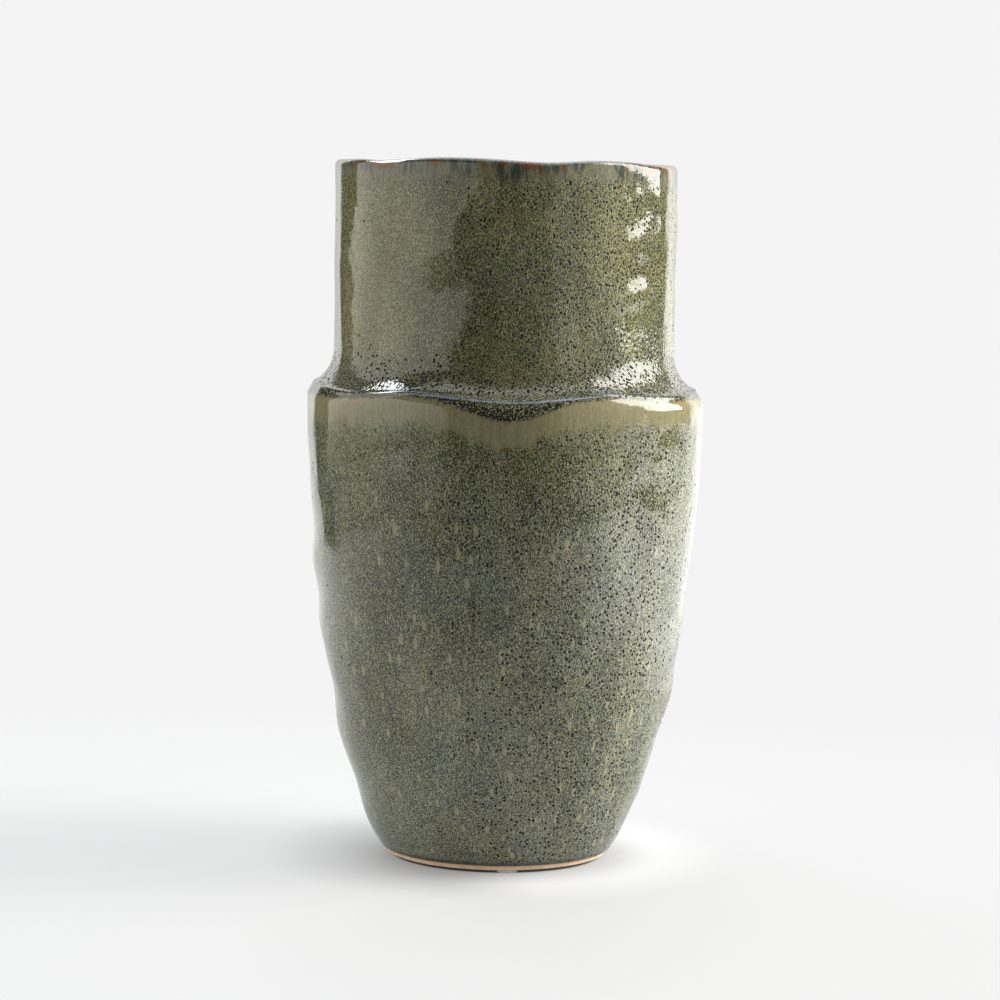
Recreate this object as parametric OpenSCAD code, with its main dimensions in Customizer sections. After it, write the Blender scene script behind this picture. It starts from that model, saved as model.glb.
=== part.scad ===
// Stoneware vase: a clay belly with a turned foot, a clay neck luted into a
// rebate at the shoulder, a glaze coat outside and inside, and three clear
// bumper pads under the foot ring.
// Millimetres. +Z is up, the origin is on the table under the vase's axis,
// and the front of the vase, where one pad shows, faces -Y.

/* [Vase] */
// Height of the glazed lip above the table
vase_h = 300; // [270:1:330]
// Thickness of the clay wall
wall_t = 6; // [5:0.5:7]
// Thickness of each glaze coat
glaze_t = 0.7; // [0.5:0.1:1]

/* [Belly] */
// Radius of the glazed belly just under the shoulder
belly_r = 85; // [82:1:88]
// Height at which the belly ends and the shoulder turns in
shoulder_z = 197.5; // [190:0.5:205]
// Radius at which the belly's curve would begin, below the table
root_r = 35.5; // [34:0.5:37]
// Depth below the table at which the belly's curve would begin
root_drop = 6; // [5:0.5:8]
// Fullness of the belly's curve, smaller is fuller low down
fullness = 0.48; // [0.45:0.01:0.52]

/* [Shoulder and neck] */
// Radius of the glazed neck
neck_r = 73; // [71:0.5:75]
// Turn of the ledge away from upright, in degrees
ledge_turn = 50; // [45:1:55]
// Rounding of the shoulder's outer corner
corner_r = 7; // [5:0.5:8]
// Hollow fillet between the ledge and the neck
fillet_r = 18; // [16:0.5:20]
// Rounding of the lip's two edges
lip_r = 2.6; // [2:0.1:3]

/* [Foot] */
// Outer radius of the bare foot where it meets the pads
foot_r = 48; // [47:0.5:49]
// Width of the foot ring
foot_ring_w = 13; // [12:0.5:15]
// Depth of the hollow inside the foot ring
foot_hollow = 2.5; // [2:0.5:3]
// Height of the glaze's lower edge above the table
glaze_line_z = 3.9; // [3.5:0.1:5]
// Thickness of the clay floor
floor_t = 7; // [6:0.5:9]

/* [Pads] */
// Diameter of a bumper pad
pad_d = 10; // [8:0.5:10.5]
// Thickness of a bumper pad without its adhesive
pad_t = 1.35; // [1.2:0.05:1.5]
// Thickness of the adhesive disc
adhesive_t = 0.15; // [0.1:0.05:0.2]
// Radius of the circle through the pads' centres
pad_circle_r = 42.3; // [41.5:0.1:42.5]
// Turn of the front pad to the right of the vase's front, in degrees
pad_turn = 6.6; // [0:0.1:20]

/* [Hidden] */
$fn = 128;

// Depths below the glazed outer surface of the clay's two faces and of the glazed inner surface
clay_out = glaze_t;
clay_in = glaze_t + wall_t;
glazed_in = wall_t + 2 * glaze_t;

// Heights of the foot's underside and of the clay floor
foot_z = pad_t + adhesive_t;
floor_z = foot_z + foot_hollow + floor_t;

// Height and width of the rounding between the wall and the floor
floor_rise = 9;
floor_reach = 11;

// Bevel of the foot's outer edge, and width of the slope inside the foot ring
foot_chamfer = 0.8;
hollow_slope = 1.5;

// Radius of the lip's crown, where the two glaze coats meet
lip_mid_r = neck_r - glazed_in / 2;

// Height and width of a pad's bevelled edge, and the turn from one pad to the next
pad_edge = 0.9;
pad_bevel = 1.2;
pad_turn_step = 120;

// Steps along the belly and along an arc
belly_steps = 26;
arc_steps = 8;

// Glazed radius of the belly at height z
function belly(z) =
    root_r + (belly_r - root_r) * pow(sin(90 * (z + root_drop) / (shoulder_z + root_drop)), fullness);

// Unit vector along the belly's outline at height z
function belly_run(z) =
    let (step = 0.05, rise = [belly(z + step) - belly(z - step), 2 * step])
    rise / norm(rise);

// Point of the belly's outline at height z, sunk by depth along the surface normal
function belly_point(z, depth) =
    let (run = belly_run(z))
    [belly(z) - depth * run[1], z + depth * run[0]];

// Height at which a surface sunk by depth leaves the belly, so that the ledge keeps its thickness
function shoulder_start(depth) = shoulder_z - depth * tan(ledge_turn / 2);

// Outline of the belly from height z to the shoulder, sunk by depth
function belly_line(z, depth) =
    let (top = shoulder_start(depth))
    concat(
        [for (i = [0 : belly_steps - 1]) belly_point(z + (top - z) * i / belly_steps, depth)],
        [[belly_r - depth, top]]
    );

// Points of an arc about centre, from angle a to angle b
function arc(centre, r, a, b, steps) =
    [for (i = [0 : steps]) centre + r * [cos(a + (b - a) * i / steps), sin(a + (b - a) * i / steps)]];

// Outline of the shoulder's corner, the ledge and its fillet, sunk by depth
function ledge_line(depth) =
    let (
        corner = [belly_r - depth - corner_r, shoulder_start(depth)],
        turn_in = (corner_r + fillet_r) * (1 - cos(ledge_turn)),
        straight = (belly_r - neck_r - turn_in) / sin(ledge_turn),
        rise = (corner_r + fillet_r) * sin(ledge_turn) + straight * cos(ledge_turn),
        fillet = [neck_r - depth + fillet_r, corner[1] + rise]
    )
    concat(
        arc(corner, corner_r, 0, ledge_turn, arc_steps),
        arc(fillet, fillet_r, 180 + ledge_turn, 180, arc_steps)
    );

// Outline of the lip's outer half, sunk by depth, up to its crown
function lip_out_line(depth) =
    concat(
        arc([neck_r - lip_r, vase_h - lip_r], lip_r - depth, 0, 90, arc_steps),
        [[lip_mid_r, vase_h - depth]]
    );

// Outline of the lip's inner half from its crown down, raised by depth above the clay
function lip_in_line(depth) =
    let (inner_r = neck_r - glazed_in)
    concat(
        [[lip_mid_r, vase_h - depth]],
        arc([inner_r + lip_r, vase_h - lip_r], lip_r - depth, 90, 180, arc_steps)
    );

// Outline of the inside from the belly down to the middle of the floor at height z
function floor_line(depth, z) =
    let (
        wall = belly_point(z + floor_rise, depth),
        run = belly_run(z + floor_rise),
        corner = [wall[0] - (wall[1] - z) * run[0] / run[1], z],
        flat = [corner[0] - floor_reach, z]
    )
    concat(
        [for (i = [0 : arc_steps]) let (s = i / arc_steps)
            pow(1 - s, 2) * wall + 2 * s * (1 - s) * corner + s * s * flat],
        [[0, z]]
    );

// The list in the opposite order
function turned(points) = [for (i = [len(points) - 1 : -1 : 0]) points[i]];

// The list without its first or its last point
function but_first(points) = [for (i = [1 : len(points) - 1]) points[i]];
function but_last(points) = [for (i = [0 : len(points) - 2]) points[i]];

// Outline of the inside wall from the shoulder down to the floor at height z
function inside_line(depth, z) =
    concat(but_last(turned(belly_line(z + floor_rise, depth))), floor_line(depth, z));

// Height of the neck's seat on the body, and the depth and radius of the rebate that centres it
joint_z = shoulder_start(clay_out);
rebate_z = shoulder_start(clay_in);
rebate_r = belly_r - clay_out - wall_t / 2;

module turn_outline(points) {
    rotate_extrude()
        polygon(points);
}

// Belly, floor and foot ring, with a rebate round the top that seats the neck
module body_clay() {
    ring_in = foot_r - foot_ring_w;
    underside = [
        [0, foot_z + foot_hollow],
        [ring_in - hollow_slope, foot_z + foot_hollow],
        [ring_in, foot_z],
        [foot_r - foot_chamfer, foot_z],
        [foot_r, foot_z + foot_chamfer]
    ];
    seat = [
        [rebate_r, joint_z],
        [rebate_r, rebate_z]
    ];
    color("burlywood")
        turn_outline(concat(
            underside,
            belly_line(glaze_line_z, clay_out),
            seat,
            inside_line(clay_in, floor_z)
        ));
}

// Skirt, upright neck and lip, with a spigot that sits in the body's rebate
module neck_clay() {
    spigot = [
        [rebate_r, rebate_z],
        [rebate_r, joint_z]
    ];
    color("tan")
        turn_outline(concat(
            spigot,
            ledge_line(clay_out),
            lip_out_line(clay_out),
            but_first(lip_in_line(glaze_t)),
            turned(ledge_line(clay_in))
        ));
}

// Outside coat, from the glaze line to the crown of the lip
module outer_glaze() {
    color("darkseagreen")
        turn_outline(concat(
            but_last(belly_line(glaze_line_z, 0)),
            ledge_line(0),
            lip_out_line(0),
            turned(lip_out_line(clay_out)),
            turned(ledge_line(clay_out)),
            but_first(turned(belly_line(glaze_line_z, clay_out)))
        ));
}

// Inside coat, from the crown of the lip to the floor
module inner_glaze() {
    color("darkkhaki")
        turn_outline(concat(
            lip_in_line(0),
            turned(ledge_line(glazed_in)),
            but_first(inside_line(glazed_in, floor_z + glaze_t)),
            but_last(turned(inside_line(clay_in, floor_z))),
            ledge_line(clay_in),
            turned(lip_in_line(glaze_t))
        ));
}

// Places a pad's part under the foot ring; order counts the pads from the front one
module on_foot_ring(order) {
    rotate([0, 0, pad_turn - 90 + pad_turn_step * order])
        translate([pad_circle_r, 0, 0])
            children();
}

// Clear bumper with a bevelled lower edge
module foot_pad(order) {
    color("lavender")
        on_foot_ring(order)
            rotate_extrude()
                polygon([
                    [0, 0],
                    [pad_d / 2 - pad_bevel, 0],
                    [pad_d / 2 - pad_bevel / 3, pad_edge / 3],
                    [pad_d / 2, pad_edge],
                    [pad_d / 2, pad_t],
                    [0, pad_t]
                ]);
}

// Adhesive disc between a bumper and the clay
module pad_adhesive(order) {
    color("whitesmoke")
        on_foot_ring(order)
            translate([0, 0, pad_t])
                cylinder(h = adhesive_t, d = pad_d);
}

body_clay();
neck_clay();
outer_glaze();
inner_glaze();
foot_pad(0);  // foot_pad_front
foot_pad(1);  // foot_pad_right
foot_pad(2);  // foot_pad_left
pad_adhesive(0);  // pad_adhesive_front
pad_adhesive(1);  // pad_adhesive_right
pad_adhesive(2);  // pad_adhesive_left
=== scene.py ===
"""Looks of the stoneware vase: glazed, hand-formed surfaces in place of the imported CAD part's plain ones.
Metres, +Z up, the front faces -Y."""

import math

import bpy
import numpy as np
from mathutils import Matrix, Vector


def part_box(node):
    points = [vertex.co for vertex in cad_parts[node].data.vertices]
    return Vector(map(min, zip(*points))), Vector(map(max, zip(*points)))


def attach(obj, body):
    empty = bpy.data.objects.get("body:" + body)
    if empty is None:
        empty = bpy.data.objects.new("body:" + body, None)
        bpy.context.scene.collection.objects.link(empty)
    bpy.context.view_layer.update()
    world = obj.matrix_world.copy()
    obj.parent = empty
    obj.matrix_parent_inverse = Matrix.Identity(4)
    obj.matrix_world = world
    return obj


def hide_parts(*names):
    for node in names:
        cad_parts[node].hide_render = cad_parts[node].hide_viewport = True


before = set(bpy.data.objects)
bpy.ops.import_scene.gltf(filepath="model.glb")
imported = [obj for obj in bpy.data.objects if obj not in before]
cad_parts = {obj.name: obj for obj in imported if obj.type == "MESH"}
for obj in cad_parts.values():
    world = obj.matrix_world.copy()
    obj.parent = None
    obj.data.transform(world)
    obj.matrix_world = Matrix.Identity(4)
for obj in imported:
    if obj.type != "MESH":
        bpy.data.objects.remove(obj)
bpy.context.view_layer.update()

MM = 0.001

# ---------------------------------------------------------------- sizes in mm, as in the CAD part

VASE_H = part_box("outer_glaze")[1].z / MM
BELLY_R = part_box("outer_glaze")[1].x / MM
GLAZE_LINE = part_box("outer_glaze")[0].z / MM
GLAZE_T = 0.7
WALL_T = 6.0
SHOULDER_Z = 197.5
ROOT_R, ROOT_DROP, FULLNESS = 35.5, 6.0, 0.48
NECK_R = 73.0
LEDGE_TURN = math.radians(50)
CORNER_R, FILLET_R, LIP_R = 7.0, 18.0, 2.6
FOOT_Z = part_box("pad_adhesive_front")[1].z / MM
FOOT_R, FOOT_RING_W, FOOT_HOLLOW, FOOT_EDGE = 48.0, 13.0, 2.5, 0.8
FLOOR_Z = 11.0
FLOOR_RISE, FLOOR_REACH = 9.0, 11.0
HOLLOW_SLOPE = 1.5

CLAY_OUT, CLAY_IN, GLAZED_IN = GLAZE_T, GLAZE_T + WALL_T, WALL_T + 2 * GLAZE_T
LIP_MID_R = NECK_R - GLAZED_IN / 2

# ---------------------------------------------------------------- the turned outline


def belly(z):
    """Glazed radius of the belly at height z."""
    swell = math.sin(math.pi / 2 * (z + ROOT_DROP) / (SHOULDER_Z + ROOT_DROP))
    return ROOT_R + (BELLY_R - ROOT_R) * swell**FULLNESS


def belly_run(z):
    """Unit vector along the belly's outline at height z."""
    step = 0.05
    run = np.array([belly(z + step) - belly(z - step), 2 * step])
    return run / np.linalg.norm(run)


def belly_point(z, depth):
    """Point of the belly's outline at height z, sunk by depth along the surface normal."""
    run = belly_run(z)
    return [belly(z) - depth * run[1], z + depth * run[0]]


def shoulder_start(depth):
    """Height at which a surface sunk by depth leaves the belly."""
    return SHOULDER_Z - depth * math.tan(LEDGE_TURN / 2)


def belly_line(z, depth, steps):
    """Outline of the belly from height z up to the shoulder, sunk by depth."""
    top = shoulder_start(depth)
    rising = [belly_point(z + (top - z) * i / steps, depth) for i in range(steps)]
    return rising + [[BELLY_R - depth, top]]


def arc(centre, r, start, end, steps):
    """Points of an arc about centre, between two angles in radians."""
    turns = [start + (end - start) * i / steps for i in range(steps + 1)]
    return [[centre[0] + r * math.cos(a), centre[1] + r * math.sin(a)] for a in turns]


def ledge_line(depth, steps):
    """The shoulder's corner, the straight ledge and the fillet below the neck."""
    corner = [BELLY_R - depth - CORNER_R, shoulder_start(depth)]
    both = CORNER_R + FILLET_R
    straight = (BELLY_R - NECK_R - both * (1 - math.cos(LEDGE_TURN))) / math.sin(LEDGE_TURN)
    rise = both * math.sin(LEDGE_TURN) + straight * math.cos(LEDGE_TURN)
    fillet = [NECK_R - depth + FILLET_R, corner[1] + rise]
    below = arc(corner, CORNER_R, 0, LEDGE_TURN, steps)
    above = arc(fillet, FILLET_R, math.pi + LEDGE_TURN, math.pi, steps)
    (r, z), (r_end, z_end) = below[-1], above[0]
    between = [[r + (r_end - r) * k / steps, z + (z_end - z) * k / steps] for k in range(1, steps, 2)]
    return below + between + above


def neck_line(depth, steps, falling=False):
    """Points between the fillet and the lip, without its two ends."""
    low, high = ledge_line(depth, 1)[-1][1], VASE_H - LIP_R
    points = [[NECK_R - depth, low + (high - low) * i / steps] for i in range(1, steps)]
    return points[::-1] if falling else points


def lip_out_line(depth, steps):
    """The lip's outer edge, up to its crown."""
    centre = [NECK_R - LIP_R, VASE_H - LIP_R]
    return arc(centre, LIP_R - depth, 0, math.pi / 2, steps) + [[LIP_MID_R, VASE_H - depth]]


def lip_in_line(depth, steps):
    """The lip's inner edge, from its crown down."""
    centre = [NECK_R - GLAZED_IN + LIP_R, VASE_H - LIP_R]
    return [[LIP_MID_R, VASE_H - depth]] + arc(centre, LIP_R - depth, math.pi / 2, math.pi, steps)


def floor_line(depth, z, steps):
    """The inside from the wall, round its corner, to the middle of the floor at height z."""
    wall, run = np.array(belly_point(z + FLOOR_RISE, depth)), belly_run(z + FLOOR_RISE)
    corner = np.array([wall[0] - (wall[1] - z) * run[0] / run[1], z])
    flat = corner - [FLOOR_REACH, 0]
    points = []
    for i in range(steps + 1):
        s = i / steps
        points.append(list((1 - s) ** 2 * wall + 2 * s * (1 - s) * corner + s * s * flat))
    return points + [[flat[0] * k / 4, z] for k in (3, 2, 1, 0)]


# ---------------------------------------------------------------- the hand-formed unevenness

# Hollows and swellings pressed into the wall: azimuth from the front (degrees, + to the right), height,
# half width round the vase, half height, and how far the wall is pushed out (mm).
PRESSED = [
    (-90, 142, 24, 9, -0.9),
    (-90, 129, 20, 5, 0.9),
    (-90, 112, 22, 7, -0.9),
    (-90, 101, 18, 5, 0.5),
    (-90, 71, 22, 8, -1.4),
    (-90, 57, 18, 5, 0.3),
    (-90, 34, 18, 7, -0.8),
    (-90, 12, 22, 7, 0.7),
    (90, 189, 26, 12, 0.5),
    (90, 119, 24, 12, -0.6),
    (90, 72, 20, 6, 1.3),
    (90, 46, 20, 9, -0.9),
    (-17, 287, 10, 10, -0.8),
    (-23, 266, 10, 10, 0.8),
    (-17, 245, 10, 10, -0.8),
    (-20, 224, 10, 9, 0.5),
    (38, 300, 5, 4, -0.20),
    (44, 291, 6, 4, -0.20),
    (49, 279, 9, 4, -0.30),
    (50, 267, 8, 4, 0.35),
    (49, 256, 7, 4, -0.40),
    (50, 245, 7, 4, 0.35),
    (44, 234, 10, 4, -0.30),
    (42, 222, 12, 4, 0.20),
    (-70, 262, 6, 7, 0.40),
    (-70, 240, 6, 7, 0.40),
    (22, 150, 16, 14, 0.7),
    (34, 170, 14, 12, -0.7),
    (64, 255, 8, 45, 1.2),
    (46, 134, 14, 14, -0.8),
    (30, 118, 14, 12, 0.6),
    (52, 152, 9, 6, 0.5),
    (50, 167, 10, 6, -0.5),
    (-62, 180, 10, 18, 0.8),
    (52, 100, 14, 12, 0.7),
    (-30, 160, 16, 18, 0.4),
    (-12, 120, 18, 16, -0.4),
    (-38, 96, 18, 16, 0.5),
    (8, 80, 16, 16, 0.4),
    (24, 62, 16, 14, -0.5),
    (150, 250, 16, 14, -0.8),
    (200, 150, 22, 18, -0.9),
    (170, 90, 20, 16, 0.8),
    (230, 240, 14, 14, 0.7),
    (130, 160, 18, 16, 0.8),
]
# Rise of the lip: azimuth, half width (degrees) and height (mm)
LIP_WAVE = [
    (-60, 6, 0.3),
    (-50, 6, -0.25),
    (-24, 11, 1.3),
    (-6, 11, 1.1),
    (30, 8, 1.1),
    (44, 8, 0.75),
    (76, 12, -0.4),
    (180, 55, -2.2),
]
# Rise of the ledge, in the same terms
LEDGE_WAVE = [
    (-90, 26, 0.6),
    (90, 24, -0.8),
    (-53, 9, -0.8),
    (-25, 10, 1.8),
    (3, 7, -0.5),
    (29, 11, 1.9),
    (160, 26, 1.0),
    (215, 24, -0.8),
]
# Height at which the dark glass pooled on the ledge ends, and how far that edge rises, in the same terms
BREAK_Z = 202.2
BREAK_WAVE = [(-90, 24, -3.0), (90, 18, -1.0), (1, 10, -7.0), (150, 30, -1.4), (210, 24, 0.8)]
# How far the pooled glass stands up in a bead, and the bead's height above BREAK_Z and half width (mm)
POOL_BEAD, BEAD_RISE, BEAD_W = 0.5, 1.2, 0.65
# The outer wall's radius at a few heights, for telling how much of a push reaches a point further in
WALL_AT = [0, 4, 30, 80, 140, 197, 215, 300]
WALL_R = [48, 50, 62, 75, 83, 85, 73, 73]
# Radius at which distances round the vase are measured
MEAN_R = 78.0
# How far the belly and the neck lean to the right (mm)
BELLY_LEAN, NECK_LEAN = 0.8, -0.3
# Height of the ledge's middle, how far above and below it its rise is felt, and the height from which the
# neck follows the lip's rise (mm)
LEDGE_Z, LEDGE_REACH, LIP_RISE_FROM = 205, 12, 262


def turn_gap(azimuth, centre):
    """Degrees from centre to azimuth, between -180 and 180."""
    return (azimuth - centre + 180) % 360 - 180


def waves(azimuth, bumps):
    """Sum of smooth bumps round the vase."""
    return sum(h * np.exp(-0.5 * (turn_gap(azimuth, a) / w) ** 2) for a, w, h in bumps)


def sine_field(seed, count, shortest, longest, size):
    """A smooth random field over (azimuth, height) as a sum of waves that close round the vase."""
    rng = np.random.default_rng(seed)
    rows = []
    while len(rows) < count:
        length = math.exp(rng.uniform(math.log(shortest), math.log(longest)))
        tilt = rng.uniform(0, math.pi)
        around = round(2 * math.pi * MEAN_R / length * math.cos(tilt))
        upward = 2 * math.pi / length * math.sin(tilt)
        rows.append((around, upward, rng.uniform(0, 2 * math.pi), length / longest))
    scale = size * math.sqrt(2 / sum(w * w for *_, w in rows))

    def field(azimuth, z):
        a = np.radians(azimuth)
        return scale * sum(w * np.cos(k * a + m * z + p) for k, m, p, w in rows)

    return field


slow_wobble = sine_field(7, 14, 110, 260, 0.28)
hand_marks = sine_field(19, 60, 26, 70, 0.16)
skin_ripple = sine_field(31, 110, 7, 18, 0.022)


def smooth(x, low, high):
    """Smooth change from 0 to 1 as x goes from low to high."""
    t = np.clip((x - low) / (high - low), 0, 1)
    return t * t * (3 - 2 * t)


def wall_push(azimuth, z, fine):
    """How far the wall is pushed out (mm). fine is the share of the glaze's ripple."""
    push = slow_wobble(azimuth, z) + hand_marks(azimuth, z)
    for a, h, across, tall, out in PRESSED:
        around = np.radians(turn_gap(azimuth, a)) * MEAN_R
        push = push + out * np.exp(-0.5 * ((around / across) ** 2 + ((z - h) / tall) ** 2))
    livelier_right = 1 + 1.5 * smooth(np.sin(np.radians(azimuth)), 0.3, 0.7)
    push = push + fine * skin_ripple(azimuth, z) * livelier_right
    # The foot is trimmed on the wheel, so it stays nearly round
    return push * (0.25 + 0.75 * smooth(z, 2, 26))


def formed(points, fine=0.0):
    """Moves points (mm) from the true round shape to the hand-formed one. fine is the share of the
    glaze's ripple and of the pool's bead."""
    x, y, z = points[:, 0], points[:, 1], points[:, 2]
    r = np.hypot(x, y)
    azimuth = np.degrees(np.arctan2(x, -y))
    outer = np.interp(z, WALL_AT, WALL_R)
    share = np.clip(r / outer, 0, 1)
    bead = fine * POOL_BEAD * np.exp(-0.5 * ((z - BREAK_Z - BEAD_RISE) / BEAD_W) ** 2)
    bead = bead * (r > outer - WALL_T)
    r_new = r + wall_push(azimuth, z, fine) * share + bead
    rise = waves(azimuth, LEDGE_WAVE) * np.exp(-0.5 * ((z - LEDGE_Z) / LEDGE_REACH) ** 2)
    rise = rise + waves(azimuth, LIP_WAVE) * smooth(z, LIP_RISE_FROM, VASE_H)
    lean = BELLY_LEAN * np.sin(np.pi * np.clip(z / LEDGE_Z, 0, 1)) + NECK_LEAN * smooth(z, 200, 220)
    turn = np.radians(azimuth)
    x_new = r_new * np.sin(turn) + lean * share
    return np.stack([x_new, -r_new * np.cos(turn), z + rise + bead], 1)


# ---------------------------------------------------------------- meshes


def turned(outline, around, closed):
    """Points and faces of a solid turned from an outline of (radius, height) points. A closed outline
    makes a ring; an open one starts and ends on the axis."""
    outline = np.array(outline, float)
    turns = 2 * math.pi * np.arange(around) / around
    rings = outline if closed else outline[1:-1]
    x = rings[:, 0, None] * np.sin(turns)
    y = -rings[:, 0, None] * np.cos(turns)
    z = np.repeat(rings[:, 1, None], around, 1)
    points = np.stack([x, y, z], 2).reshape(-1, 3)
    count = len(rings)
    columns = np.arange(around)
    beside = (columns + 1) % around
    quads = []
    for i in range(count if closed else count - 1):
        low, high = i * around, ((i + 1) % count) * around
        quads.append(np.stack([low + columns, low + beside, high + beside, high + columns], 1))
    faces = np.concatenate(quads).tolist()
    if not closed:
        first, last, top = len(points), len(points) + 1, (count - 1) * around
        points = np.vstack([points, [0, 0, outline[0, 1]], [0, 0, outline[-1, 1]]])
        faces += [[first, int(b), int(a)] for a, b in zip(columns, beside)]
        faces += [[last, top + int(a), top + int(b)] for a, b in zip(columns, beside)]
    return points, faces


def new_piece(name, points, faces, crisp_angle):
    """A smooth object from points in metres. Edges sharper than crisp_angle (degrees) stay crisp."""
    mesh = bpy.data.meshes.new(name)
    mesh.from_pydata(points.tolist(), [], faces)
    mesh.validate()
    mesh.shade_smooth()
    mesh.set_sharp_from_angle(angle=math.radians(crisp_angle))
    piece = bpy.data.objects.new(name, mesh)
    bpy.context.scene.collection.objects.link(piece)
    return piece


def revolve(name, outline, around, closed, fine=0.0, attributes=None):
    """A hand-formed piece of the vase, turned from an outline in mm. attributes makes the values that its
    material reads, from the true round points and their azimuths."""
    points, faces = turned(outline, around, closed)
    piece = new_piece(name, formed(points, fine) * MM, faces, 42)
    azimuth = np.degrees(np.arctan2(points[:, 0], -points[:, 1]))
    for key, make in (attributes or {}).items():
        store = piece.data.attributes.new(key, "FLOAT", "POINT")
        store.data.foreach_set("value", make(points, azimuth).astype(np.float32))
    return piece


def glaze_zones():
    """What the glaze material reads: millimetres above the pool's wavy edge, above that edge's usual
    height, above the glaze line and below the lip, and how far (-1 to 1) a point lies to the right and
    to the front."""
    return {
        "above_break": lambda p, a: p[:, 2] - BREAK_Z - waves(a, BREAK_WAVE),
        "above_edge": lambda p, a: p[:, 2] - BREAK_Z,
        "above_foot": lambda p, a: p[:, 2] - GLAZE_LINE,
        "below_lip": lambda p, a: VASE_H - p[:, 2],
        "rightward": lambda p, a: np.sin(np.radians(a)),
        "forward": lambda p, a: np.cos(np.radians(a)),
    }


def outer_glaze_outline():
    """The outside coat, with a rolled edge at the glaze line."""
    low_out, low_in = belly_point(GLAZE_LINE, 0), belly_point(GLAZE_LINE, CLAY_OUT)
    middle = [(low_out[0] + low_in[0]) / 2, (low_out[1] + low_in[1]) / 2]
    lean = math.atan2(low_out[1] - middle[1], low_out[0] - middle[0])
    bead = arc(middle, GLAZE_T / 2, lean - math.pi, lean, 6)[1:-1]
    outside = belly_line(GLAZE_LINE, 0, 80)[:-1] + ledge_line(0, 16)
    outside += neck_line(0, 36) + lip_out_line(0, 9)
    back = lip_out_line(CLAY_OUT, 2)[::-1] + ledge_line(CLAY_OUT, 4)[::-1]
    back += belly_line(GLAZE_LINE, CLAY_OUT, 10)[::-1][1:]
    return outside + back + bead


def inner_glaze_outline():
    floor = FLOOR_Z + GLAZE_T
    clay_side = floor_line(CLAY_IN, FLOOR_Z, 4)[::-1]
    clay_side += belly_line(FLOOR_Z + FLOOR_RISE, CLAY_IN, 10)[1:-1]
    clay_side += ledge_line(CLAY_IN, 4) + lip_in_line(GLAZE_T, 3)[::-1]
    glazed_side = lip_in_line(0, 8) + neck_line(GLAZED_IN, 24, falling=True)
    glazed_side += ledge_line(GLAZED_IN, 12)[::-1]
    glazed_side += belly_line(floor + FLOOR_RISE, GLAZED_IN, 50)[::-1][1:-1]
    glazed_side += floor_line(GLAZED_IN, floor, 10)
    return clay_side + glazed_side


def body_clay_outline():
    ring_in = FOOT_R - FOOT_RING_W
    hollow = FOOT_Z + FOOT_HOLLOW
    under = [[0, hollow]] + [[(ring_in - HOLLOW_SLOPE) * k / 6, hollow] for k in range(1, 7)]
    under += [[ring_in - 0.5, FOOT_Z + 0.5], [ring_in, FOOT_Z]]
    under += [[ring_in + 4, FOOT_Z], [FOOT_R - 4, FOOT_Z]]
    edge = arc([FOOT_R - FOOT_EDGE, FOOT_Z + FOOT_EDGE], FOOT_EDGE, -math.pi / 2, 0, 5)
    rebate_r = BELLY_R - CLAY_OUT - WALL_T / 2
    seat = [[rebate_r, shoulder_start(CLAY_OUT)], [rebate_r, shoulder_start(CLAY_IN)]]
    wall = belly_line(GLAZE_LINE, CLAY_OUT, 48)
    inside = belly_line(FLOOR_Z + FLOOR_RISE, CLAY_IN, 12)[::-1][:-1] + floor_line(CLAY_IN, FLOOR_Z, 4)
    return under + edge + wall + seat + inside


def neck_clay_outline():
    rebate_r = BELLY_R - CLAY_OUT - WALL_T / 2
    spigot = [[rebate_r, shoulder_start(CLAY_IN)], [rebate_r, shoulder_start(CLAY_OUT)]]
    outside = ledge_line(CLAY_OUT, 6) + neck_line(CLAY_OUT, 8) + lip_out_line(CLAY_OUT, 4)
    inside = lip_in_line(GLAZE_T, 4)[1:] + neck_line(CLAY_IN, 8, falling=True)
    inside += ledge_line(CLAY_IN, 6)[::-1]
    return spigot + outside + inside


# ---------------------------------------------------------------- materials


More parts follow.
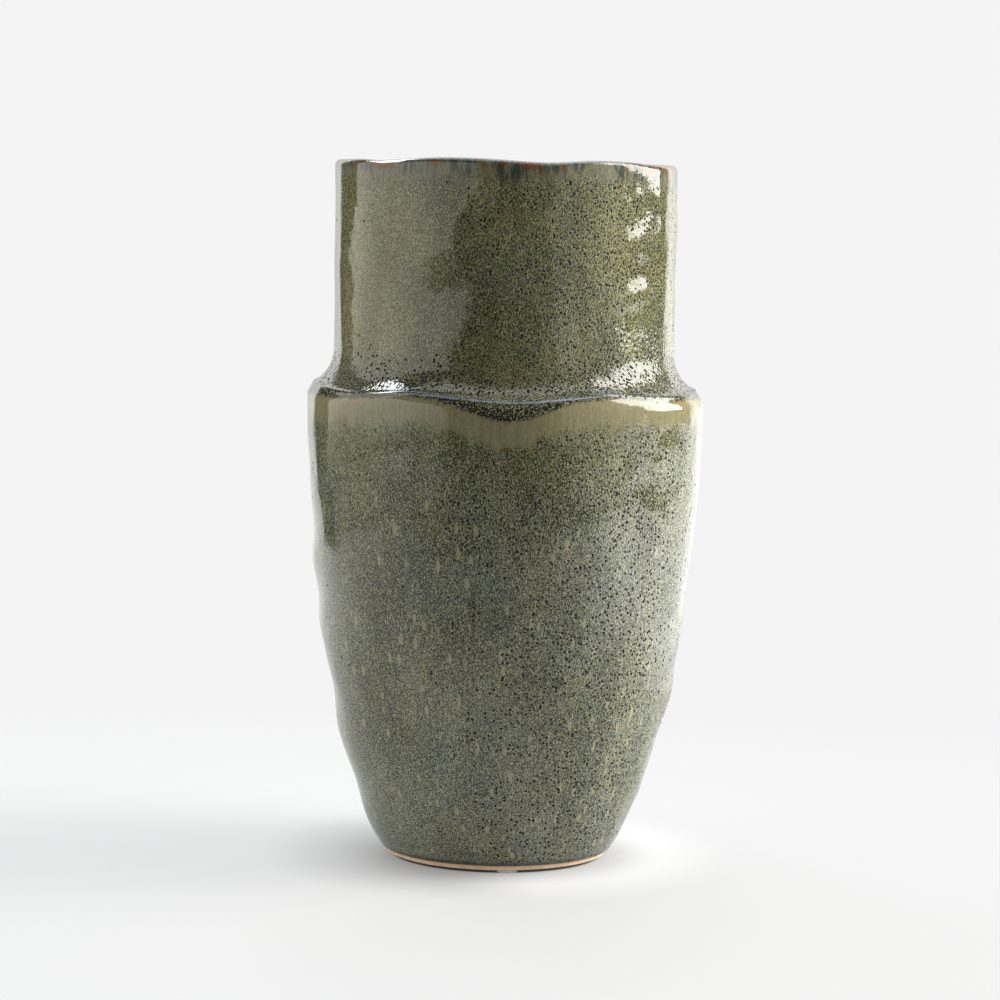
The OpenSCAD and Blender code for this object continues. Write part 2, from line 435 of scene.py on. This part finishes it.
class Nodes:
    """Short calls that add nodes to one tree."""

    def __init__(self, tree):
        self.tree = tree

    def node(self, kind, **settings):
        """A new shader node of this kind."""
        made = self.tree.nodes.new("ShaderNode" + kind)
        for key, value in settings.items():
            setattr(made, key, value)
        return made

    def feed(self, socket, value):
        """Links a socket to another one, or gives it a plain value."""
        if isinstance(value, bpy.types.NodeSocket):
            self.tree.links.new(value, socket)
        elif isinstance(value, (tuple, list)) and len(value) == 3 and socket.type == "RGBA":
            socket.default_value = (*value, 1)
        else:
            socket.default_value = value

    def math(self, operation, a, b=0.0, c=0.0):
        """The result of one operation on numbers or sockets."""
        made = self.node("Math", operation=operation)
        for socket, value in zip(made.inputs, (a, b, c)):
            self.feed(socket, value)
        return made.outputs[0]

    def step(self, value, low, high, out_low=0.0, out_high=1.0, easing="SMOOTHSTEP"):
        """Change from out_low to out_high as value goes from low to high, and none outside."""
        made = self.node("MapRange", interpolation_type=easing)
        for socket, number in zip(made.inputs, (value, low, high, out_low, out_high)):
            self.feed(socket, number)
        return made.outputs[0]

    def parts(self, vector):
        """The three coordinates of a vector."""
        made = self.node("SeparateXYZ")
        self.feed(made.inputs[0], vector)
        return made.outputs[0], made.outputs[1], made.outputs[2]

    def place(self):
        """Place on the object, in metres."""
        return self.node("TexCoord").outputs["Object"]

    def height(self):
        """Height above the table, in metres."""
        return self.parts(self.place())[2]

    def stretched(self, scale, offset=0.0):
        """Place on the object, scaled along each axis and moved by offset (m), for patterns."""
        made = self.node("Mapping")
        self.feed(made.inputs["Vector"], self.place())
        made.inputs["Scale"].default_value = scale
        made.inputs["Location"].default_value = (offset, offset, offset)
        return made.outputs[0]

    def noise(self, vector, size, detail=2.0, roughness=0.5):
        """Noise with features about size (mm) across."""
        made = self.node("TexNoise")
        self.feed(made.inputs["Vector"], vector)
        made.inputs["Scale"].default_value = 1 / (size * MM)
        made.inputs["Detail"].default_value = detail
        made.inputs["Roughness"].default_value = roughness
        return made.outputs["Fac"]

    def cells(self, vector, size):
        """Distance (in cells) to the nearest of random points about size (mm) apart, and a random value
        of that point."""
        made = self.node("TexVoronoi")
        self.feed(made.inputs["Vector"], vector)
        made.inputs["Scale"].default_value = 1 / (size * MM)
        apart = self.node("SeparateColor")
        self.feed(apart.inputs[0], made.outputs["Color"])
        return made.outputs["Distance"], apart.outputs[0]

    def attribute(self, name):
        """A value stored on the mesh's points."""
        return self.node("Attribute", attribute_name=name).outputs["Fac"]

    def mix(self, share, a, b):
        """Colour a, turning into colour b as share goes from 0 to 1."""
        made = self.node("Mix", data_type="RGBA")
        self.feed(made.inputs["Factor"], share)
        self.feed(made.inputs["A"], a)
        self.feed(made.inputs["B"], b)
        return made.outputs["Result"]

    def cover(self, share, strength, below, above):
        """The colour above laid over the one below, where share is 1, as thick as strength."""
        return self.mix(self.math("MULTIPLY", share, strength), below, above)

    def ramp(self, value, stops):
        """The colour at value along the stops, each of which is a position and a colour."""
        made = self.node("ValToRGB")
        self.feed(made.inputs[0], value)
        band = made.color_ramp
        while len(band.elements) < len(stops):
            band.elements.new(0.5)
        for element, (place, colour) in zip(band.elements, stops):
            element.position, element.color = place, (*colour, 1)
        return made.outputs[0]

    def bump(self, height, distance, normal=None):
        """The normal of a surface that rises by distance (mm) as height goes from 0 to 1."""
        made = self.node("Bump")
        made.inputs["Strength"].default_value = 1.0
        made.inputs["Distance"].default_value = distance * MM
        self.feed(made.inputs["Height"], height)
        if normal is not None:
            self.feed(made.inputs["Normal"], normal)
        return made.outputs[0]

    def all_of(self, *shares):
        """The product of the shares."""
        result = shares[0]
        for share in shares[1:]:
            result = self.math("MULTIPLY", result, share)
        return result

    def blend(self, share, a, b):
        """Shader a, turning into shader b as share goes from 0 to 1."""
        made = self.node("MixShader")
        for socket, value in zip(made.inputs, (share, a, b)):
            self.feed(socket, value)
        return made.outputs[0]


class Surface(Nodes):
    """The nodes of one material with one Principled shader."""

    def __init__(self, name):
        self.material = bpy.data.materials.new(name)
        self.material.use_nodes = True
        super().__init__(self.material.node_tree)
        self.shader = self.tree.nodes["Principled BSDF"]

    def finished(self, colour, roughness, normal=None, uniform=None):
        """Feeds the shader and returns the material. uniform holds plain values by socket name."""
        self.feed(self.shader.inputs["Base Color"], colour)
        self.feed(self.shader.inputs["Roughness"], roughness)
        if normal is not None:
            self.feed(self.shader.inputs["Normal"], normal)
        for name, value in (uniform or {}).items():
            self.feed(self.shader.inputs[name], value)
        return self.material


# Colours of the glaze, as linear light
TEAL = (0.010, 0.019, 0.019)
CREAM = (0.300, 0.280, 0.180)
RUST = (0.330, 0.110, 0.035)
BROWN_RUST = (0.140, 0.046, 0.014)
LIP_RUST = (0.150, 0.043, 0.007)
INNER_RUST = (0.110, 0.034, 0.008)
LIP_BROWN = (0.030, 0.026, 0.014)
DEEP_GLASS = (0.004, 0.009, 0.009)
POOL_FLECK = (0.260, 0.236, 0.135)
# A painted highlight, not a glaze colour: the pale blue line on the crest of the pooled glass
CREST_HIGHLIGHT_BLUE = (0.290, 0.345, 0.410)
TEAR = (0.016, 0.030, 0.030)
# Painted shade: near-black for the inside of a pinhole, where its walls shade it
PIT_SHADE = (0.004, 0.004, 0.003)
BAND_DARK, BAND_PALE = (0.186, 0.166, 0.090), (0.252, 0.224, 0.131)
LIP_DARK, LIP_PALE = (0.110, 0.106, 0.068), (0.185, 0.175, 0.120)
# Colours of the bare clay
CLAY_DARK, CLAY_PALE = (0.690, 0.490, 0.305), (0.840, 0.640, 0.440)
GROG, FLUSH = (0.300, 0.180, 0.090), (0.560, 0.250, 0.080)
# The glass from dark to pale, where it is cool (blue-green) and where it is warm (olive)
COOL = [
    (0.34, (0.007, 0.012, 0.013)),
    (0.45, (0.032, 0.050, 0.044)),
    (0.53, (0.103, 0.124, 0.084)),
    (0.64, (0.218, 0.240, 0.160)),
    (0.76, (0.330, 0.335, 0.245)),
]
WARM = [
    (0.34, (0.012, 0.010, 0.004)),
    (0.45, (0.053, 0.046, 0.018)),
    (0.53, (0.130, 0.116, 0.047)),
    (0.64, (0.235, 0.213, 0.102)),
    (0.76, (0.350, 0.320, 0.185)),
]
# Stretches of the patterns: none, upright, running down and drawn out down the wall
EVEN, UPRIGHT, RUNNING, DRAWN = (1, 1, 1), (1, 1, 0.55), (1, 1, 0.22), (1, 1, 0.045)
# Index of refraction of the glazes
GLASS_IOR = 1.52


def mottled(g, shift, coolness, contrast):
    """Glass full of fine specks, in cool and warm patches. shift (about 0) above 0 makes it paler,
    coolness (about 0) above 0 makes it bluer, and contrast (about 1) sets how strong the specks are."""
    grain = g.math("SUBTRACT", g.noise(g.stretched((1, 1, 0.5)), 0.4, 1.0, 0.5), 0.5)
    clouds = g.math("MULTIPLY_ADD", g.noise(g.stretched((1, 1, 0.4), 0.4), 22, 3.0, 0.55), 0.26, 0.37)
    shade = g.math("ADD", g.math("MULTIPLY_ADD", grain, contrast, clouds), shift)
    tint = g.math("MULTIPLY_ADD", g.noise(g.stretched((1, 1, 0.4), 0.8), 26, 3.0, 0.6), 0.9, -0.45)
    tint = g.math("MULTIPLY_ADD", g.noise(g.stretched((1, 1, 0.6), 0.2), 0.5, 0.0), 1.5, tint)
    warmth = g.step(g.math("SUBTRACT", tint, coolness), 0.5, 1.0)
    return g.mix(warmth, g.ramp(shade, COOL), g.ramp(shade, WARM))


def glass_ground(g):
    """The outside glass, darker and bluer on the belly than on the neck."""
    on_belly = g.step(g.attribute("above_break"), 2, -40)
    contrast = g.math("MULTIPLY_ADD", on_belly, 0.4, 0.95)
    coolness = g.math("MULTIPLY_ADD", on_belly, 0.23, -0.13)
    return mottled(g, g.math("MULTIPLY_ADD", on_belly, 0.004, 0.016), coolness, contrast)


def add_drips(g, colour):
    """Small drips of paler glass down the belly."""
    gap, drip = g.cells(g.stretched((1, 1, 0.35), 1.7), 4.8)
    below = g.step(g.attribute("above_break"), -26, -40)
    drips = g.all_of(g.step(gap, 0.25, 0.14), g.step(drip, 0.15, 0.3), below)
    return g.cover(drips, 0.75, colour, CREAM)


def band_share(g):
    """Where the glaze is thin below the shoulder's edge, with a ragged lower side."""
    above_break = g.attribute("above_break")
    ragged = g.math("MULTIPLY_ADD", g.noise(g.stretched(RUNNING, 0.4), 5, 3.0, 0.6), 13.0, above_break)
    ragged = g.math("MULTIPLY_ADD", g.noise(g.stretched(UPRIGHT), 0.7, 1.0), 9.0, ragged)
    return g.all_of(g.step(ragged, -2.5, 3.0), g.step(above_break, 0.5, 0.0))


def add_band(g, colour, band):
    """Smooth tan glass, finely streaked, in the share band."""
    streaks = g.noise(g.stretched(DRAWN, 0.9), 1.0, 2.0, 0.6)
    tan = g.mix(g.step(streaks, 0.3, 0.75), BAND_DARK, BAND_PALE)
    return g.cover(band, 0.78, colour, tan)


def add_pool(g, colour):
    """Thick dark glass pooled on the ledge, full of tan flecks, running over its edge at the front."""
    above_break, even = g.attribute("above_break"), g.stretched(EVEN)
    over_edge = g.step(above_break, 6.0, 2.0)
    flecks = g.noise(even, 0.65, 1.0, 0.6)
    flecks = g.step(g.math("MULTIPLY_ADD", over_edge, -0.04, flecks), 0.50, 0.56)
    pool_colour = g.cover(flecks, 0.95, DEEP_GLASS, POOL_FLECK)
    frayed = g.math("MULTIPLY_ADD", g.noise(even, 1.3, 3.0, 0.7), 5.0, above_break)
    upper_side = g.step(g.math("MULTIPLY_ADD", flecks, 3.0, frayed), 22.0, 10.0)
    return g.cover(g.all_of(g.step(frayed, 1.4, 3.2), upper_side), 0.94, colour, pool_colour)


def add_crest_highlight(g, colour):
    """Thin milky-blue painted highlight along the crest of the pooled glass at the front, standing in for
    the crest's reflection of the light above.
    """
    off_crest = g.math("ABSOLUTE", g.math("SUBTRACT", g.attribute("above_edge"), 0.5))
    off_crest = g.math("MULTIPLY_ADD", g.noise(g.stretched(EVEN), 2.0, 3.0, 0.7), 1.2, off_crest)
    in_front = g.step(g.attribute("forward"), 0.75, 0.9)
    in_pool = g.step(g.attribute("above_break"), 0.3, 1.2)
    return g.cover(g.all_of(g.step(off_crest, 1.05, 0.70), in_pool, in_front), 0.75, colour, CREST_HIGHLIGHT_BLUE)


def add_edge_rust(g, colour):
    """Rust in dashes along the shoulder's edge, away from the front."""
    above_break = g.attribute("above_break")
    dashes = g.step(g.noise(g.stretched(EVEN), 7, 2.0, 0.6), 0.54, 0.6)
    edge = g.all_of(g.step(above_break, -1.9, -1.2), g.step(above_break, -0.1, -0.6), dashes)
    return g.cover(g.all_of(edge, g.step(g.attribute("forward"), 0.82, 0.70)), 0.6, colour, RUST)


def lip_share(g):
    """The ragged stretch of the neck under the lip."""
    ragged = g.noise(g.stretched(RUNNING, 0.4), 5, 3.0, 0.6)
    return g.step(g.math("MULTIPLY_ADD", ragged, 11.0, g.attribute("below_lip")), 16.5, 9.5)


def add_lip_marks(g, colour, lip_band):
    """Smooth olive glass in the share lip_band, with soft dark tears, rust patches and a brown crown."""
    below_lip, even, running = g.attribute("below_lip"), g.stretched(EVEN), g.stretched(RUNNING, 0.4)
    olive = g.mix(g.step(g.noise(running, 2.2, 3.0, 0.6), 0.3, 0.7), LIP_DARK, LIP_PALE)
    colour = g.cover(lip_band, 0.7, colour, olive)
    tears = g.noise(g.stretched((1, 1, 0.16), 2.3), 2.1, 3.0, 0.6)
    reach = g.math("MULTIPLY_ADD", g.noise(running, 9, 2.0), -30.0, below_lip)
    colour = g.cover(g.all_of(g.step(tears, 0.42, 0.58), g.step(reach, -7.0, -13.0)), 0.85, colour, TEAR)
    ragged = g.math("MULTIPLY_ADD", g.noise(even, 2.5, 3.0, 0.6), 7.0, below_lip)
    rusty = g.all_of(g.step(g.noise(even, 8, 3.0, 0.6), 0.49, 0.56), g.step(ragged, 8.5, 6.0))
    colour = g.cover(rusty, 0.75, colour, BROWN_RUST)
    colour = g.cover(g.step(below_lip, 0.5, 0.2), 0.8, colour, LIP_BROWN)
    rusty_edge = g.all_of(g.step(below_lip, 1.0, 0.4), g.step(g.noise(even, 10, 3.0, 0.6), 0.50, 0.57))
    return g.cover(rusty_edge, 0.85, colour, LIP_RUST)


def add_pinholes(g, colour, band, lip_band):
    """Pinholes with a raised rim, crowded in patches, on the ledge and to the right of the front, their
    insides painted near-black as painted shade. They stay off the smooth bands and off the glass that has
    run over the edge. Returns colour and holes."""
    above_break, above_edge = g.attribute("above_break"), g.attribute("above_edge")
    rightward, even = g.attribute("rightward"), g.stretched(EVEN)
    far, which = g.cells(even, 1.75)
    crowd = g.math("ADD", g.step(rightward, -0.6, 0.6, -0.3, 0.20), g.noise(even, 17, 2.0, 0.6))
    crowd = g.math("SUBTRACT", crowd, g.step(rightward, 0.72, 0.98, 0.0, 0.32))
    on_ledge = g.all_of(g.step(above_edge, 0.8, 2.0), g.step(above_break, 22.0, 12.0), 0.6)
    crowd = g.math("ADD", crowd, on_ledge)
    chance = g.math("ADD", which, g.math("MULTIPLY", crowd, 1.5))
    chosen = g.step(g.math("SUBTRACT", chance, 1.38), 0.0, 0.04)
    clear_of_bands = g.all_of(g.step(band, 0.6, 0.3), g.step(lip_band, 0.8, 0.3))
    off_run = g.math("MAXIMUM", g.step(above_edge, 0.0, 1.0), g.step(above_break, 1.0, 0.0))
    chosen = g.all_of(chosen, clear_of_bands, off_run)
    holes = g.all_of(g.step(far, 0.38, 0.34), chosen)
    colour = g.cover(g.all_of(g.step(far, 0.56, 0.42), chosen), 0.30, colour, CREAM)
    # The holes are filled with painted shade, near-black
    return g.mix(holes, colour, PIT_SHADE), holes


def glaze_relief(g, holes):
    """The normal of the outside glass: slow skin, fine grit, crinkles mostly on the ledge, and pits."""
    above_break, rightward, even = g.attribute("above_break"), g.attribute("rightward"), g.stretched(EVEN)
    on_ledge = g.step(above_break, 0.0, 3.0, 0.0, 1.2)
    lively = g.math("MAXIMUM", g.step(rightward, 0.15, 0.65, 0.45, 1.5), on_ledge)
    skin = g.bump(g.math("MULTIPLY", g.noise(even, 4.5, 2.0, 0.5), lively), 0.06)
    grit = g.noise(g.stretched(UPRIGHT), 1.2, 1.0, 0.6)
    gritty = g.bump(g.math("MULTIPLY", grit, lively), 0.008, normal=skin)
    crinkle = g.all_of(g.step(above_break, 0.5, 3.0), g.step(above_break, 38.0, 20.0))
    crinkle = g.math("MULTIPLY", crinkle, g.step(rightward, 0.2, 0.6, 0.55, 1.0))
    crinkle = g.math("MAXIMUM", crinkle, g.step(rightward, 0.45, 0.7, 0.0, 0.1))
    crinkles = g.noise(g.stretched((1, 1, 1.3), 1.1), 1.8, 1.0, 0.5)
    crinkled = g.bump(g.math("MULTIPLY", crinkles, crinkle), 0.25, normal=gritty)
    return g.bump(g.math("SUBTRACT", 1.0, holes), 0.12, normal=crinkled)


def outer_glaze_material():
    g = Surface("reactive_glaze")
    band, lip_band = band_share(g), lip_share(g)
    colour = add_band(g, add_drips(g, glass_ground(g)), band)
    # The crest's pale blue line is a painted highlight
    colour = add_edge_rust(g, add_crest_highlight(g, add_pool(g, colour)))
    colour = add_lip_marks(g, colour, lip_band)
    # Dark rolled edge over the bare foot
    colour = g.mix(g.step(g.attribute("above_foot"), 2.4, 0.5, 0.0, 0.85), colour, TEAL)
    colour, holes = add_pinholes(g, colour, band, lip_band)
    gloss = g.step(g.noise(g.stretched(EVEN), 3.0, 2.0), 0.35, 0.7, 0.05, 0.11)
    return g.finished(colour, g.math("ADD", gloss, holes), glaze_relief(g, holes), {"IOR": GLASS_IOR})


def inner_glaze_material():
    """Plainer glass inside, dark where it has pooled on the floor, brown and rusty at the lip."""
    g = Surface("liner_glaze")
    even = g.stretched(EVEN)
    height = g.height()
    pooled = g.step(height, 0.030, 0.013)
    colour = g.cover(pooled, 0.8, mottled(g, 0.0, 0.0, 1.0), TEAL)
    lip = g.step(height, 0.2955, 0.2990)
    colour = g.cover(lip, 0.8, colour, LIP_BROWN)
    rusty = g.all_of(lip, g.step(g.noise(even, 9, 3.0, 0.6), 0.52, 0.60))
    colour = g.cover(rusty, 0.8, colour, INNER_RUST)
    gloss = g.step(g.noise(even, 3.0, 2.0), 0.35, 0.7, 0.08, 0.18)
    return g.finished(colour, gloss, g.bump(g.noise(even, 6, 3.0), 0.05), {"IOR": GLASS_IOR})


def clay_material():
    """Buff clay with darker grog and turning rings, flushed brown where the glaze begins."""
    g = Surface("bare_stoneware")
    even = g.stretched(EVEN)
    tone = g.noise(even, 6, 3.0, 0.6)
    colour = g.mix(g.step(tone, 0.3, 0.7), CLAY_DARK, CLAY_PALE)
    grog = g.step(g.noise(even, 0.7, 2.0, 0.6), 0.64, 0.70)
    colour = g.cover(grog, 0.45, colour, GROG)
    flush = g.step(g.math("MULTIPLY_ADD", tone, 0.0012, g.height()), 0.0034, 0.0042)
    colour = g.cover(flush, 0.8, colour, FLUSH)
    rings = g.bump(g.noise(g.stretched((1, 1, 6)), 5, 2.0), 0.06)
    grain = g.bump(g.noise(even, 0.6, 2.0), 0.03, normal=rings)
    return g.finished(colour, g.step(tone, 0.3, 0.7, 0.62, 0.82), grain)


def pad_material():
    """Clear plastic, a little milky."""
    g = Surface("clear_bumper")
    even = g.stretched(EVEN)
    colour = g.mix(g.noise(even, 3, 1.0), (0.86, 0.83, 0.88), (0.95, 0.94, 0.96))
    gloss = g.step(g.noise(even, 1.5, 1.0), 0.3, 0.7, 0.10, 0.22)
    return g.finished(colour, gloss, uniform={"IOR": 1.49, "Transmission Weight": 0.4})


def adhesive_material():
    """Whitish film."""
    g = Surface("adhesive_film")
    even = g.stretched(EVEN)
    colour = g.mix(g.noise(even, 1.2, 2.0), (0.74, 0.70, 0.68), (0.88, 0.86, 0.85))
    gloss = g.step(g.noise(even, 0.8, 1.0), 0.3, 0.7, 0.30, 0.45)
    return g.finished(colour, gloss, uniform={"Transmission Weight": 0.4})


# ---------------------------------------------------------------- pieces


def dress(piece, material, node):
    """Gives a piece its material and tells which CAD node it takes the place of."""
    piece.data.materials.append(material)
    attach(piece, "root")
    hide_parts(node)
    return piece


def make_vessel():
    clay = clay_material()
    belly = revolve("clay_belly", body_clay_outline(), 320, closed=False)
    dress(belly, clay, "body_clay")
    neck = revolve("clay_neck", neck_clay_outline(), 240, closed=True)
    dress(neck, clay, "neck_clay")
    outline = outer_glaze_outline()
    outside = revolve("glaze_coat_outside", outline, 480, closed=True, fine=1.0, attributes=glaze_zones())
    dress(outside, outer_glaze_material(), "outer_glaze")
    inside = revolve("glaze_coat_inside", inner_glaze_outline(), 400, closed=False)
    dress(inside, inner_glaze_material(), "inner_glaze")


def pad_mesh(name, node):
    """A clear bumper with a rounded edge, in the place and size of its CAD node."""
    low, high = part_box(node)
    middle, r, tall = (low + high) / 2, (high.x - low.x) / 2, high.z - low.z
    edge_r = tall * 0.8
    turns = np.linspace(0, math.pi / 2, 9)
    side = [(r - edge_r + edge_r * math.sin(a), edge_r * (1 - math.cos(a))) for a in turns]
    under = [(0, 0), (r * 0.45, 0)]
    top = [(r, tall * 0.96), (r - tall * 0.04, tall), (r * 0.5, tall), (0, tall)]
    points, faces = turned(under + side + top, 72, closed=False)
    return new_piece(name, points + [middle.x, middle.y, low.z], faces, 50)


def make_pads():
    """New bumpers. The adhesive discs keep their CAD shape and only get their film."""
    clear, film = pad_material(), adhesive_material()
    for place in ("front", "left", "right"):
        pad = pad_mesh("clear_pad_" + place, "foot_pad_" + place)
        dress(pad, clear, "foot_pad_" + place)
        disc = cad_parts["pad_adhesive_" + place]
        disc.data.materials.clear()
        disc.data.materials.append(film)


# ---------------------------------------------------------------- stage, lights and camera

# What the eye sees behind and around the vase
WHITE = (0.905, 0.905, 0.905)
# The floor's left, right, near and far ends (m), and its colour on the left and on the right: darker on the
# right, where the right lamps light it most, so that its painted glow sets its brightness there
FLOOR_ENDS = (-0.66, 1.7, -0.55, 3.0)
FLOOR_LEFT, FLOOR_RIGHT = (0.16, 0.159, 0.157), (0.05, 0.05, 0.049)
# Where the camera stands (m), how far it looks down and leans (degrees), and its lens on a 36 mm sensor
CAMERA_PLACE = (-0.0008, -1.554, 0.3174)
CAMERA_PITCH, CAMERA_ROLL = 6.0, 1.03
CAMERA_LENS, SENSOR = 130.3, 36


def mirrored_floor(g, across, back):
    """How bright the floor is in reflections and as a light: more so on both sides, less so in front."""
    on_right = g.all_of(g.step(across, 0.17, 0.36, 0.0, 2.5), g.step(back, 0.45, 0.10, 0.45, 1.0))
    on_left = g.all_of(g.step(across, -0.15, -0.4, 0.0, 0.4), g.step(across, -1.1, -0.5))
    sides = g.math("ADD", g.math("ADD", on_right, on_left), 1.0)
    return g.math("MULTIPLY", sides, g.step(back, -0.12, -0.55, 1.0, 0.22))


def foot_shadow(g, across):
    """What is left of the floor's glow near the vase: almost none in the gap under the foot, and less on
    the left of the vase than on the right, where the light comes from."""
    away = g.node("VectorMath", operation="LENGTH")
    g.feed(away.inputs[0], g.place())
    away = away.outputs["Value"]
    in_gap = g.step(away, 0.0442, 0.0464, 0.06, 1.0)
    nearby = g.step(away, 0.060, 0.110, 1.0, 0.0)
    cast = g.math("MULTIPLY_ADD", nearby, g.step(across, 0.025, -0.025, 0.22, -0.30), 1.0)
    return g.all_of(g.step(away, 0.036, 0.075, 0.55, 1.0), in_gap, cast)


def floor_material():
    """A pale sheet with a soft painted glow, brighter on the right, and a painted shadow near the vase; it
    melts into the white further off.
    """
    g = Surface("pale_floor")
    across, back, _ = g.parts(g.place())
    seen = g.node("LightPath").outputs["Is Camera Ray"]
    unseen = g.math("MULTIPLY", g.math("SUBTRACT", 1.0, seen), mirrored_floor(g, across, back))
    level = g.math("ADD", seen, unseen)
    rightward = g.step(across, -0.15, 0.30)
    # Painted light: the glow grows towards the right, with the painted shadow of foot_shadow near the vase
    strength = g.all_of(foot_shadow(g, across), level, g.math("MULTIPLY_ADD", rightward, 0.17, 0.55))
    g.feed(g.shader.inputs["Emission Strength"], strength)
    uniform = {"Specular IOR Level": 0.2, "Emission Color": (1.0, 0.998, 0.992)}
    material = g.finished(g.mix(rightward, FLOOR_LEFT, FLOOR_RIGHT), 0.7, uniform=uniform)
    glow = g.node("Emission")
    g.feed(glow.inputs["Color"], WHITE)
    g.feed(glow.inputs["Strength"], level)
    melt = g.math("MAXIMUM", g.step(back, 0.08, 0.42), g.step(back, -0.33, -0.53))
    melt = g.math("MAXIMUM", melt, g.step(g.math("ABSOLUTE", across), 0.40, 0.64))
    output = g.tree.nodes["Material Output"].inputs["Surface"]
    g.feed(output, g.blend(melt, g.shader.outputs[0], glow.outputs[0]))
    return material


def make_floor():
    left, right, near, far = FLOOR_ENDS
    corners = np.array([(left, near, 0), (right, near, 0), (right, far, 0), (left, far, 0)])
    floor = new_piece("floor", corners, [(0, 1, 2, 3)], 42)
    floor.data.materials.append(floor_material())


def make_world():
    """White to the eye; for light and reflections, a white sweep behind the vase, a pale table below the
    horizon, and near darkness elsewhere."""
    world = bpy.data.worlds.new("studio")
    bpy.context.scene.world = world
    world.use_nodes = True
    world.node_tree.nodes.clear()
    g = Nodes(world.node_tree)
    across, back, up = g.parts(g.node("TexCoord").outputs["Generated"])
    # The bright sweep starts further round on the left than on the right, where it is brightest
    reach = g.math("ADD", back, g.step(across, -0.2, 0.2, 0.0, 0.085))
    level = g.math("MULTIPLY", g.step(across, -0.5, 0.5, 1.6, 1.9), g.step(back, 0.86, 0.985, 1.0, 0.5))
    sweep = g.math("MULTIPLY", level, g.step(reach, 0.80, 0.85))
    behind = g.math("ADD", sweep, g.step(reach, 0.75, 0.85, 0.07, 0.0))
    # Below the horizon lies the table, dimmer in front
    table = g.math("MULTIPLY", g.step(across, -0.3, 0.5, 1.25, 1.9), g.step(back, -0.9, -0.2, 0.12, 1.0))
    table = g.math("MULTIPLY", table, g.step(up, -0.16, -0.25))
    lit, seen = g.node("Background"), g.node("Background")
    g.feed(lit.inputs["Color"], (1.0, 1.0, 1.0))
    g.feed(lit.inputs["Strength"], g.math("MAXIMUM", behind, table))
    g.feed(seen.inputs["Color"], WHITE)
    by_eye = g.node("LightPath").outputs["Is Camera Ray"]
    g.feed(g.node("OutputWorld").inputs["Surface"], g.blend(by_eye, lit.outputs[0], seen.outputs[0]))


def fade_panel(light, dim_end):
    """Dims a panel to the share dim_end at one end, and towards the floor."""
    light.use_nodes = True
    g = Nodes(light.node_tree)
    spot = g.node("NewGeometry")
    along = g.step(g.parts(spot.outputs["Parametric"])[0], 0.45, 1.0, 1.0, dim_end, easing="LINEAR")
    rise = g.step(g.parts(spot.outputs["Position"])[2], -0.05, 0.10, 0.25, 1.0, easing="LINEAR")
    g.feed(g.tree.nodes["Emission"].inputs["Strength"], g.math("MULTIPLY", along, rise))


def panel(name, place, aim, size, radiance, colour=(1, 1, 1), dim_end=1.0, mirrored=True):
    """A soft rectangular light whose face has the given radiance. One with dim_end below 1 fades at one
    end and towards the floor. One that isn't mirrored lights the vase without showing in its glaze."""
    light = bpy.data.lights.new(name, "AREA")
    light.shape = "RECTANGLE"
    light.size, light.size_y = size
    light.energy = radiance * math.pi * size[0] * size[1]
    light.color = colour
    if dim_end < 1:
        fade_panel(light, dim_end)
    holder = bpy.data.objects.new(name, light)
    bpy.context.scene.collection.objects.link(holder)
    holder.location = place
    holder.rotation_euler = (Vector(aim) - Vector(place)).to_track_quat("-Z", "Y").to_euler()
    holder.visible_camera = False
    holder.visible_glossy = mirrored


def make_lights():
    """A large panel on the left, a tall one on the right, and smaller lights above and behind."""
    ivory, warm_white, cream = (1.0, 0.99, 0.95), (1.0, 0.98, 0.93), (1.0, 0.97, 0.88)
    ice, pale_blue, sky = (0.93, 0.97, 1.0), (0.92, 0.96, 1.0), (0.70, 0.86, 1.0)
    panel("left_panel", (-1.3, -0.80, 0.50), (0, -0.80, 0.50), (3.06, 1.5), 1.75, cream, dim_end=0.6)
    panel("right_key", (1.11, 0.228, 0.9325), (-0.03, -0.006, 0.64), (0.70, 1.35), 9.5, ivory)
    panel("right_fill", (1.19, -0.06, 0.69), (0, 0, 0.39), (0.70, 0.85), 12.2, warm_white, mirrored=False)
    panel("right_bounce", (1.5, -1.25, 0.60), (0, -1.25, 0.60), (2.1, 1.3), 0.5)
    panel("top_panel", (0, -0.1, 1.6), (0, -0.1, 0), (1.3, 0.9), 1.6, ice)
    panel("back_left_spark", (-0.70, 0.62, 1.15), (0, 0, 0.2), (0.85, 0.18), 15.0, pale_blue)
    panel("back_sky", (0, 0.72, 1.47), (0, 0, 0.2), (1.5, 0.75), 4.4, sky)


def make_camera():
    """The camera in front of the vase, a little above its lip and looking down."""
    data = bpy.data.cameras.new("camera")
    data.lens, data.sensor_width = CAMERA_LENS, SENSOR
    camera = bpy.data.objects.new("camera", data)
    bpy.context.scene.collection.objects.link(camera)
    pitch = Matrix.Rotation(math.radians(90 - CAMERA_PITCH), 4, "X")
    roll = Matrix.Rotation(math.radians(CAMERA_ROLL), 4, "Z")
    camera.matrix_world = Matrix.Translation(CAMERA_PLACE) @ pitch @ roll
    bpy.context.scene.camera = camera


make_vessel()
make_pads()
make_floor()
make_world()
make_lights()
make_camera()
bpy.context.scene.view_settings.view_transform = "Standard"
